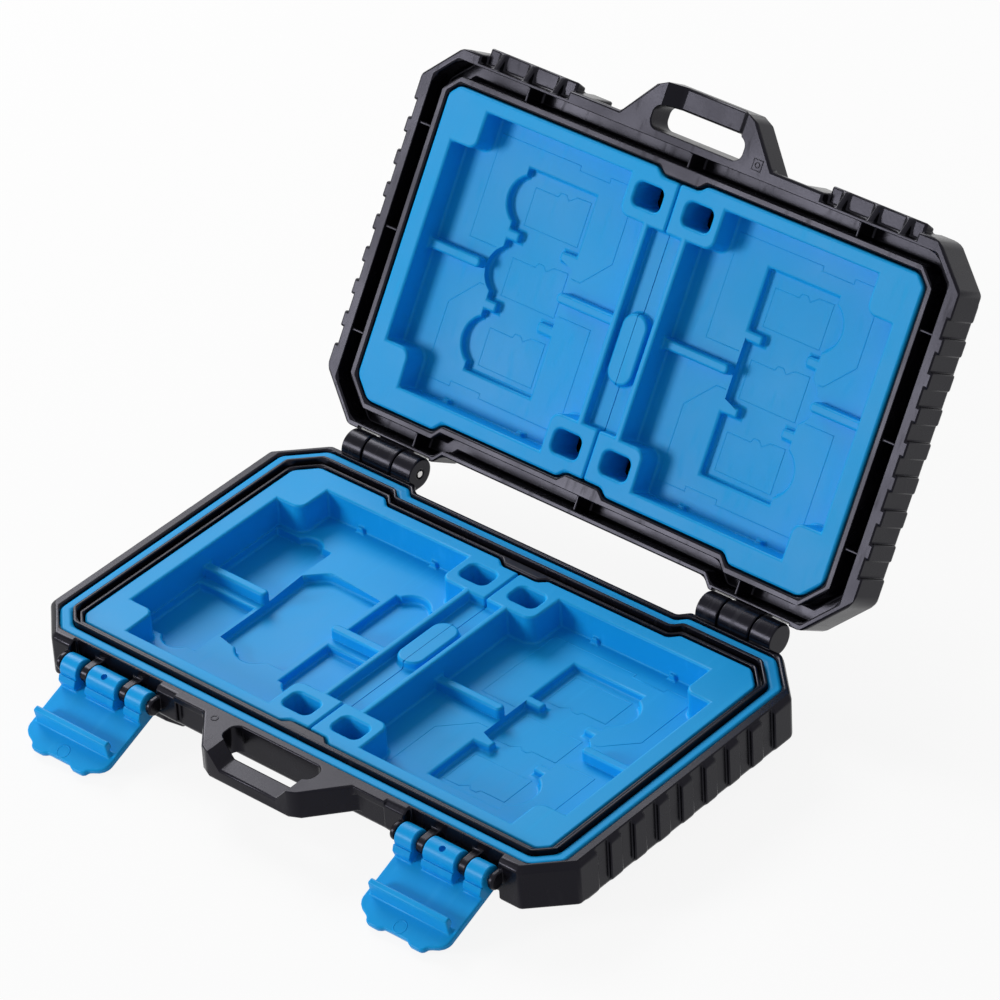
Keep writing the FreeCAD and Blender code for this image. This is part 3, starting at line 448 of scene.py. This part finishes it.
def mixed_colour(tree, share, first, second):
    """Colour between two sockets by a share."""
    node = tree.nodes.new("ShaderNodeMix")
    node.data_type = "RGBA"
    tree.links.new(share, node.inputs["Factor"])
    tree.links.new(first, node.inputs[FIRST_COLOUR_INPUT])
    tree.links.new(second, node.inputs[SECOND_COLOUR_INPUT])
    return node.outputs[COLOUR_OUTPUT]


GRAIN_DETAIL = 2.0
CLOUD_SCALE = 60.0
CLOUD_DETAIL = 4.0
CLOUD_LIMITS = (0.3, 0.7)
SCUFF_TURN = (0.3, 0.2, 0.6)
SCUFF_STRETCH = (1.0, 0.07, 0.25)
SCUFF_SCALE = 700.0
SCUFF_DETAIL = 3.0
SCUFF_LIMITS = (0.58, 0.74)
SCUFF_DULLING = 0.3


def moulded_surface_group():
    """Spark-eroded mould texture: fine grain, slow cloudiness of tone and gloss, and faint scuffs."""
    group = bpy.data.node_groups.new("moulded surface", "ShaderNodeTree")
    for label in ("Grain Scale", "Cloud Scale", "Smoothest", "Roughest", "Scuffs"):
        group.interface.new_socket(label, in_out="INPUT", socket_type="NodeSocketFloat")
    for label in ("Dark Tone", "Light Tone", "Scuff Tone"):
        group.interface.new_socket(label, in_out="INPUT", socket_type="NodeSocketColor")
    for label, kind in (("Color", "Color"), ("Roughness", "Float"), ("Height", "Float")):
        group.interface.new_socket(label, in_out="OUTPUT", socket_type=f"NodeSocket{kind}")
    entry = group.nodes.new("NodeGroupInput")
    leave = group.nodes.new("NodeGroupOutput")
    place = group.nodes.new("ShaderNodeTexCoord").outputs["Object"]
    grain = noise(group, place, entry.outputs["Grain Scale"], GRAIN_DETAIL)
    cloud = noise(group, place, entry.outputs["Cloud Scale"], CLOUD_DETAIL)
    tone = mixed_colour(group, cloud, entry.outputs["Dark Tone"], entry.outputs["Light Tone"])
    gloss_limits = (entry.outputs["Smoothest"], entry.outputs["Roughest"])
    rough = remapped(group, cloud, CLOUD_LIMITS, gloss_limits)
    stretch = group.nodes.new("ShaderNodeMapping")
    stretch.inputs["Rotation"].default_value = SCUFF_TURN
    stretch.inputs["Scale"].default_value = SCUFF_STRETCH
    group.links.new(place, stretch.inputs["Vector"])
    streaks = noise(group, stretch.outputs["Vector"], SCUFF_SCALE, SCUFF_DETAIL)
    scuff = remapped(group, streaks, SCUFF_LIMITS, (0.0, entry.outputs["Scuffs"]))
    worn = mixed_colour(group, scuff, tone, entry.outputs["Scuff Tone"])
    dulled = group.nodes.new("ShaderNodeMath")
    dulled.operation = "MULTIPLY_ADD"
    dulled.inputs[1].default_value = SCUFF_DULLING
    group.links.new(scuff, dulled.inputs[0])
    group.links.new(rough, dulled.inputs[2])
    group.links.new(worn, leave.inputs["Color"])
    group.links.new(dulled.outputs[0], leave.inputs["Roughness"])
    group.links.new(grain, leave.inputs["Height"])
    return group


MOULDED_SURFACE = moulded_surface_group()
OPAQUE = 1.0


def moulded_plastic(
    name, dark, light, scuffed, scuffs, smoothest, roughest, grain_scale, grain_depth, specular, glint,
):
    """Moulded plastic whose tone, gloss and grain come from the mould texture."""
    material = bpy.data.materials.new(name)
    material.use_nodes = True
    tree = material.node_tree
    shader = tree.nodes["Principled BSDF"]
    surface = tree.nodes.new("ShaderNodeGroup")
    surface.node_tree = MOULDED_SURFACE
    surface.inputs["Grain Scale"].default_value = grain_scale
    surface.inputs["Cloud Scale"].default_value = CLOUD_SCALE
    surface.inputs["Smoothest"].default_value = smoothest
    surface.inputs["Roughest"].default_value = roughest
    surface.inputs["Scuffs"].default_value = scuffs
    surface.inputs["Dark Tone"].default_value = (*dark, OPAQUE)
    surface.inputs["Light Tone"].default_value = (*light, OPAQUE)
    surface.inputs["Scuff Tone"].default_value = (*scuffed, OPAQUE)
    bump = tree.nodes.new("ShaderNodeBump")
    bump.inputs["Distance"].default_value = grain_depth
    tree.links.new(surface.outputs["Color"], shader.inputs["Base Color"])
    tree.links.new(surface.outputs["Roughness"], shader.inputs["Roughness"])
    tree.links.new(surface.outputs["Height"], bump.inputs["Height"])
    tree.links.new(bump.outputs["Normal"], shader.inputs["Normal"])
    shader.inputs["Specular IOR Level"].default_value = specular
    shader.inputs["Specular Tint"].default_value = (*glint, OPAQUE)
    return material


SHELL_RADIUS = 0.5 * MM
SHELL_SEGMENTS = 2
CORNER_RADIUS = 1.5 * MM
black_plastic = moulded_plastic(
    "black_shell_plastic",
    dark=(0.0032, 0.0030, 0.0048),
    light=(0.0055, 0.0052, 0.0080),
    scuffed=(0.022, 0.021, 0.025),
    scuffs=0.35,
    smoothest=0.17,
    roughest=0.33,
    grain_scale=1900.0,
    grain_depth=0.006 * MM,
    specular=0.17,
    glint=(0.82, 0.80, 1.0),
)
softened(
    "base_shell_moulding", "base_shell", "base",
    SHELL_RADIUS, SHELL_SEGMENTS, black_plastic,
    corner_radius=CORNER_RADIUS,
)


# Seal ring: a soft blue rubber ring with a rounded crown, laid in the rim groove of the base.
# Its upper edges and blunt corners are rounded, and the edges down in the groove are left alone.
CROWN_RADIUS = 0.8 * MM
CROWN_SEGMENTS = 4
BLUE_DARK = (0.005, 0.33, 0.745)
BLUE_LIGHT = (0.010, 0.395, 0.845)
BLUE_SCUFFED = (0.03, 0.46, 0.90)
BLUE_GLINT = (0.78, 0.92, 1.0)
gasket_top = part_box("base_gasket")[1].z


def crown_edge(edge):
    """True for the upper edges and the blunt corners of the ring."""
    return is_corner(edge, "base") or all(corner.co.z > gasket_top - SAME_POINT for corner in edge.verts)


seal_rubber = moulded_plastic(
    "blue_seal_rubber",
    dark=BLUE_DARK,
    light=BLUE_LIGHT,
    scuffed=BLUE_SCUFFED,
    scuffs=0.25,
    smoothest=0.42,
    roughest=0.52,
    grain_scale=2200.0,
    grain_depth=0.004 * MM,
    specular=0.14,
    glint=BLUE_GLINT,
)
softened(
    "seal_ring", "base_gasket", "base",
    CROWN_RADIUS, CROWN_SEGMENTS, seal_rubber, crown_edge,
    corner_radius=CORNER_RADIUS,
)


# Inserts: four blue tray halves in a slightly soft plastic, two set in the base and two in the lid.
# They carry the card places, and their rims and blocks are rounded all over.
INSERT_RADIUS = 0.55 * MM
INSERT_SEGMENTS = 3
insert_plastic = moulded_plastic(
    "blue_insert_plastic",
    dark=BLUE_DARK,
    light=BLUE_LIGHT,
    scuffed=BLUE_SCUFFED,
    scuffs=0.25,
    smoothest=0.36,
    roughest=0.46,
    grain_scale=2400.0,
    grain_depth=0.004 * MM,
    specular=0.14,
    glint=BLUE_GLINT,
)
for side in ("left", "right"):
    for half in ("base", "lid"):
        softened(
            f"{half}_insert_{side}", f"{half}_tray_{side}", half,
            INSERT_RADIUS, INSERT_SEGMENTS, insert_plastic,
            corner_radius=CORNER_RADIUS,
        )


# Card outlines: fine raised lines on the floors of the three card inserts, from lines cut in the mould.
# A large outline lies on each half of a pocket floor, and a small one in each of the three card places.
# They are in millimetres from the middle of a pocket or card place, and those of the lid are opened with it.
LINE_RADIUS = 0.15 * MM
LINE_SINK = 0.08 * MM
LINE_FACES = 8
CARD_MIDDLE = Vector((26.825, -1.0)) * MM
CARD_PITCH = 13.1 * MM
POCKET_FLOOR = 6.35 * MM
PLACE_DEPTH = 1.5 * MM
CLOSED_HEIGHT = 24.8 * MM
LARGE_FRONT = 3.5
LARGE_SHORT_END = 8.1
LARGE_LONG_END = 9.2
LARGE_OUTLINE = (
    (-15.3, LARGE_FRONT), (-15.3, 22.6), (2.7, 22.6), (2.7, 21.7), (9.5, 21.7), (9.5, 22.6),
    (15.3, 22.6), (15.3, 8.7), (10.1, LARGE_FRONT),
)
SMALL_OUTLINE = (
    (-6.0, -4.3), (-6.0, 2.7), (-0.9, 2.7), (-0.5, 3.5), (0.7, 3.5), (1.5, 2.7), (3.0, 3.8),
    (6.2, 3.9), (6.2, -4.3),
)


def raised_line_nodes():
    """Round bead along every path of edges, with its radius and material as inputs."""
    tree = bpy.data.node_groups.new("raised line", "GeometryNodeTree")
    sockets = {}
    for label, kind in (("Path", "Geometry"), ("Line Radius", "Float"), ("Finish", "Material")):
        sockets[label] = tree.interface.new_socket(label, in_out="INPUT", socket_type=f"NodeSocket{kind}")
    tree.interface.new_socket("Line", in_out="OUTPUT", socket_type="NodeSocketGeometry")
    entry = tree.nodes.new("NodeGroupInput")
    leave = tree.nodes.new("NodeGroupOutput")
    ring = tree.nodes.new("GeometryNodeCurvePrimitiveCircle")
    ring.inputs["Resolution"].default_value = LINE_FACES
    tree.links.new(entry.outputs["Line Radius"], ring.inputs["Radius"])
    path = tree.nodes.new("GeometryNodeMeshToCurve")
    tree.links.new(entry.outputs["Path"], path.inputs["Mesh"])
    sweep = tree.nodes.new("GeometryNodeCurveToMesh")
    sweep.inputs["Fill Caps"].default_value = True
    tree.links.new(path.outputs["Curve"], sweep.inputs["Curve"])
    tree.links.new(ring.outputs["Curve"], sweep.inputs["Profile Curve"])
    real = tree.nodes.new("GeometryNodeRealizeInstances")
    tree.links.new(sweep.outputs["Mesh"], real.inputs["Geometry"])
    finish = tree.nodes.new("GeometryNodeSetMaterial")
    tree.links.new(real.outputs["Geometry"], finish.inputs["Geometry"])
    tree.links.new(entry.outputs["Finish"], finish.inputs["Material"])
    tree.links.new(finish.outputs["Geometry"], leave.inputs["Line"])
    return tree, {label: socket.identifier for label, socket in sockets.items()}


RAISED_LINE, LINE_SOCKETS = raised_line_nodes()


def raised_lines(name, body, paths, material):
    """Plain mesh of beads along paths, each given as its points and whether it closes."""
    points, edges = [], []
    for path, closed in paths:
        first = len(points)
        points += path
        edges += [(first + step, first + step + 1) for step in range(len(path) - 1)]
        if closed:
            edges.append((len(points) - 1, first))
    mesh = bpy.data.meshes.new(name)
    mesh.from_pydata(points, edges, [])
    piece = linked_object(name, mesh)
    sweep = piece.modifiers.new("raised line", "NODES")
    sweep.node_group = RAISED_LINE
    sweep[LINE_SOCKETS["Line Radius"]] = LINE_RADIUS
    sweep[LINE_SOCKETS["Finish"]] = material
    finished = finished_mesh(piece)
    piece.modifiers.clear()
    piece.data = finished
    finished.name = name
    finished.shade_smooth()
    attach(piece, body)


def large_outline(left_end, right_end):
    """Large outline with its two open ends, which stop short of the card places."""
    return ((-left_end, LARGE_FRONT), *LARGE_OUTLINE, (right_end, LARGE_FRONT))


def floor_points(outline, side, shift, turned, up, level):
    """Outline on the floor of one insert, with its far edge at the side that up points to."""
    sign = -1 if turned else 1
    middle = Vector((CARD_MIDDLE.x * side, CARD_MIDDLE.y))
    return [
        Vector((middle.x + sign * u * MM, middle.y + up * (sign * v * MM + shift), level))
        for u, v in outline
    ]


def card_lines(side, up, pocket, place, small_turned):
    """Two large and three small outlines of one card insert."""
    ends = (LARGE_SHORT_END, LARGE_LONG_END) if side > 0 else (LARGE_LONG_END, LARGE_SHORT_END)
    paths = [
        (floor_points(large_outline(*ends), side, 0.0, False, up, pocket), False),
        (floor_points(large_outline(*reversed(ends)), side, 0.0, True, up, pocket), False),
    ]
    for step in (-1, 0, 1):
        small = floor_points(SMALL_OUTLINE, side, step * CARD_PITCH, small_turned, up, place)
        paths.append((small, True))
    return paths


hinge_line = Matrix.Translation(Vector(lid_hinge["pos_m"]))
LID_OPENING = hinge_line @ lid_turn @ hinge_line.inverted()
pocket_line = POCKET_FLOOR - LINE_SINK
place_line = pocket_line - PLACE_DEPTH
base_lines = card_lines(side=1, up=1, pocket=pocket_line, place=place_line, small_turned=True)
lid_pocket_line = CLOSED_HEIGHT - pocket_line
lid_place_line = CLOSED_HEIGHT - place_line
lid_lines = []
for side in (-1, 1):
    shut_lines = card_lines(side, up=-1, pocket=lid_pocket_line, place=lid_place_line, small_turned=False)
    for path, closed in shut_lines:
        lid_lines.append(([LID_OPENING @ point for point in path], closed))
raised_lines("base_card_lines", "base", base_lines, insert_plastic)
raised_lines("lid_card_lines", "lid", lid_lines, insert_plastic)


# Lid shell: the upper half of the case, moulded in the same black plastic as the base.
# It swings on the hinge pins and carries the catch ledges for the latches.
softened(
    "lid_shell_moulding", "lid_shell", "lid",
    SHELL_RADIUS, SHELL_SEGMENTS, black_plastic,
    corner_radius=CORNER_RADIUS,
)


# Mould marks: a small ring on an arm of the base handle, and a framed ring on an arm of the lid handle.
# They stand out by less than a tenth of a millimetre, left by round pins and a small plate in the moulds.
MARK_STEPS = 16
BASE_MARK = Vector((-13.84, -36.13, 12.6)) * MM
BASE_MARK_RADIUS = 0.6 * MM
LID_MARK = Vector((13.68, -35.90, 13.3)) * MM
LID_MARK_RADIUS = 0.45 * MM
LID_FRAME_HALF = 0.95 * MM
SQUARE = ((-1, -1), (1, -1), (1, 1), (-1, 1))


def ring_path(middle, radius, slope=0.0):
    """Points of a circle that rises towards the back at a slope."""
    across = Vector((1.0, 0.0, 0.0))
    back = Vector((0.0, math.cos(slope), math.sin(slope)))
    turns = [math.tau * step / MARK_STEPS for step in range(MARK_STEPS)]
    return [middle + (across * math.cos(turn) + back * math.sin(turn)) * radius for turn in turns]


sunk = UPRIGHT * LINE_SINK
lid_ring = ring_path(LID_MARK + sunk, LID_MARK_RADIUS)
lid_frame = [LID_MARK + sunk + Vector((x, y, 0.0)) * LID_FRAME_HALF for x, y in SQUARE]
raised_lines(
    "base_mould_mark", "base",
    [(ring_path(BASE_MARK - sunk, BASE_MARK_RADIUS), True)],
    black_plastic,
)
raised_lines(
    "lid_mould_mark", "lid",
    [([LID_OPENING @ point for point in path], True) for path in (lid_ring, lid_frame)],
    black_plastic,
)


# Latches: two glossy blue snap levers, clipped on pins at the front of the base.
# Each has a curved pull edge, a hook bar that grips the ledge of the lid, and a mould mark on its plate.
LATCH_RADIUS = 0.35 * MM
LATCH_SEGMENTS = 3
PLATE_SLOPE = math.radians(22.5)
LATCH_MARK = Vector((38.0, -48.98, 2.18)) * MM
LATCH_MARK_RADIUS = 1.2 * MM
latch_plastic = moulded_plastic(
    "blue_latch_plastic",
    dark=(0.004, 0.315, 0.75),
    light=(0.008, 0.375, 0.85),
    scuffed=(0.025, 0.44, 0.90),
    scuffs=0.25,
    smoothest=0.28,
    roughest=0.36,
    grain_scale=2400.0,
    grain_depth=0.003 * MM,
    specular=0.17,
    glint=(0.70, 0.90, 1.0),
)
plate_normal = Vector((0.0, -math.sin(PLATE_SLOPE), math.cos(PLATE_SLOPE)))
for side, across in (("left", -1), ("right", 1)):
    softened(
        f"latch_lever_{side}", f"latch_{side}", f"{side}_latch",
        LATCH_RADIUS, LATCH_SEGMENTS, latch_plastic,
    )
    middle = Vector((across * LATCH_MARK.x, LATCH_MARK.y, LATCH_MARK.z)) - plate_normal * LINE_SINK
    raised_lines(
        f"latch_mould_mark_{side}", f"{side}_latch",
        [(ring_path(middle, LATCH_MARK_RADIUS, PLATE_SLOPE), True)],
        latch_plastic,
    )


# Pins: ground steel rods in the hinges and under the latches, with broken ends.
# The turning marks run round the rod, so the gloss changes along it.
PIN_RADIUS = 0.12 * MM
PIN_SEGMENTS = 2
STEEL_COLOUR = (0.62, 0.61, 0.60)
STEEL_GLOSS_LIMITS = (0.18, 0.34)
TURNING_STRETCH = (1.0, 0.04, 0.04)
TURNING_SCALE = 9000.0
TURNING_DETAIL = 3.0


def ground_steel():
    """Bright steel with fine turning marks round the X axis."""
    material = bpy.data.materials.new("ground_steel")
    material.use_nodes = True
    tree = material.node_tree
    shader = tree.nodes["Principled BSDF"]
    shader.inputs["Base Color"].default_value = (*STEEL_COLOUR, OPAQUE)
    shader.inputs["Metallic"].default_value = 1.0
    place = tree.nodes.new("ShaderNodeTexCoord")
    stretch = tree.nodes.new("ShaderNodeMapping")
    stretch.inputs["Scale"].default_value = TURNING_STRETCH
    tree.links.new(place.outputs["Object"], stretch.inputs["Vector"])
    marks = noise(tree, stretch.outputs["Vector"], TURNING_SCALE, TURNING_DETAIL)
    gloss = remapped(tree, marks, (0.0, 1.0), STEEL_GLOSS_LIMITS)
    tree.links.new(gloss, shader.inputs["Roughness"])
    return material


pin_steel = ground_steel()
for side in ("left", "right"):
    for kind in ("hinge", "latch"):
        softened(
            f"{kind}_rod_{side}", f"{kind}_pin_{side}", "base",
            PIN_RADIUS, PIN_SEGMENTS, pin_steel,
        )


# Studio: a white floor and surround, strong soft boxes at the left and the front left, a weak one behind.
# The camera stands to the front right with a long lens, tilted slightly as the picture is.
WHITE = (1.0, 1.0, 1.0, OPAQUE)
AMBIENT = 0.25
FLOOR_HALF = 3.0
FLOOR_COLOUR = (0.86, 0.86, 0.86, OPAQUE)
FLOOR_ROUGHNESS = 0.9
FLOOR_GLOW_SHARE = 0.9
LAMP_AIM = Vector((0.0, 0.02, 0.03))
LAMPS = {
    "key_box": {"place": (-0.80, 0.35, 0.72), "size": 0.45, "power": 6.8},
    "back_box": {"place": (-0.62, 0.68, 0.66), "size": 0.3, "power": 1.3},
    "front_box": {"place": (-0.66, -0.93, 0.40), "size": 0.36, "power": 7.4},
}
CAMERA_PLACE = Vector((0.53627, -0.56150, 0.59726))
CAMERA_AIM = Vector((0.00027, 0.02203, 0.03000))
CAMERA_ROLL = math.radians(3.423)
CAMERA_LENS = 206.437
CAMERA_REACH = 10.0
SENSOR_WIDTH = 36.0
LENS_AXIS = Vector((0.0, 0.0, 1.0))


def seen_directly(tree):
    """1 for rays that show the surround itself: straight, mirrored or through glass."""
    path = tree.nodes.new("ShaderNodeLightPath")
    total = path.outputs["Is Camera Ray"]
    for label in ("Is Glossy Ray", "Is Transmission Ray"):
        larger = tree.nodes.new("ShaderNodeMath")
        larger.operation = "MAXIMUM"
        tree.links.new(total, larger.inputs[0])
        tree.links.new(path.outputs[label], larger.inputs[1])
        total = larger.outputs[0]
    return total


def white_surround():
    """World that shows as white and lights the object gently."""
    world = bpy.data.worlds.new("white_surround")
    bpy.context.scene.world = world
    world.use_nodes = True
    tree = world.node_tree
    light = tree.nodes["Background"]
    light.inputs["Strength"].default_value = AMBIENT
    light.inputs["Color"].default_value = WHITE
    backdrop = tree.nodes.new("ShaderNodeBackground")
    backdrop.inputs["Color"].default_value = WHITE
    mix = tree.nodes.new("ShaderNodeMixShader")
    tree.links.new(seen_directly(tree), mix.inputs["Fac"])
    tree.links.new(light.outputs["Background"], mix.inputs[1])
    tree.links.new(backdrop.outputs["Background"], mix.inputs[2])
    tree.links.new(mix.outputs["Shader"], tree.nodes["World Output"].inputs["Surface"])


def pale_floor():
    """Matt white floor that keeps a soft shadow of the object."""
    mesh = bpy.data.meshes.new("studio_floor")
    corners = [(x * FLOOR_HALF, y * FLOOR_HALF, 0.0) for x, y in SQUARE]
    mesh.from_pydata(corners, [], [range(len(corners))])
    material = bpy.data.materials.new("white_floor_paint")
    material.use_nodes = True
    tree = material.node_tree
    shader = tree.nodes["Principled BSDF"]
    shader.inputs["Base Color"].default_value = FLOOR_COLOUR
    shader.inputs["Roughness"].default_value = FLOOR_ROUGHNESS
    shader.inputs["Specular IOR Level"].default_value = 0.0
    glow = tree.nodes.new("ShaderNodeEmission")
    mix = tree.nodes.new("ShaderNodeMixShader")
    share = tree.nodes.new("ShaderNodeMath")
    share.operation = "MULTIPLY"
    share.inputs[1].default_value = FLOOR_GLOW_SHARE
    tree.links.new(seen_directly(tree), share.inputs[0])
    tree.links.new(share.outputs[0], mix.inputs["Fac"])
    tree.links.new(shader.outputs["BSDF"], mix.inputs[1])
    tree.links.new(glow.outputs["Emission"], mix.inputs[2])
    tree.links.new(mix.outputs["Shader"], tree.nodes["Material Output"].inputs["Surface"])
    mesh.materials.append(material)
    linked_object("studio_floor", mesh)


def soft_lamp(name, place, size, power):
    """Square soft box at a place, turned to the object."""
    lamp = bpy.data.lights.new(name, "AREA")
    lamp.size = size
    lamp.energy = power
    box = linked_object(name, lamp)
    box.location = place
    box.rotation_euler = (LAMP_AIM - Vector(place)).to_track_quat("-Z", "Y").to_euler()


def photo_camera():
    """Long lens at the height and turn of the picture."""
    lens = bpy.data.cameras.new("photo_camera")
    lens.lens = CAMERA_LENS
    lens.sensor_width = SENSOR_WIDTH
    lens.clip_end = CAMERA_REACH
    camera = linked_object("photo_camera", lens)
    level = (CAMERA_AIM - CAMERA_PLACE).to_track_quat("-Z", "Y")
    camera.rotation_euler = (level @ Quaternion(LENS_AXIS, -CAMERA_ROLL)).to_euler()
    camera.location = CAMERA_PLACE
    bpy.context.scene.camera = camera


white_surround()
pale_floor()
for name, lamp in LAMPS.items():
    soft_lamp(name, **lamp)
photo_camera()
bpy.context.scene.view_settings.view_transform = "Standard"
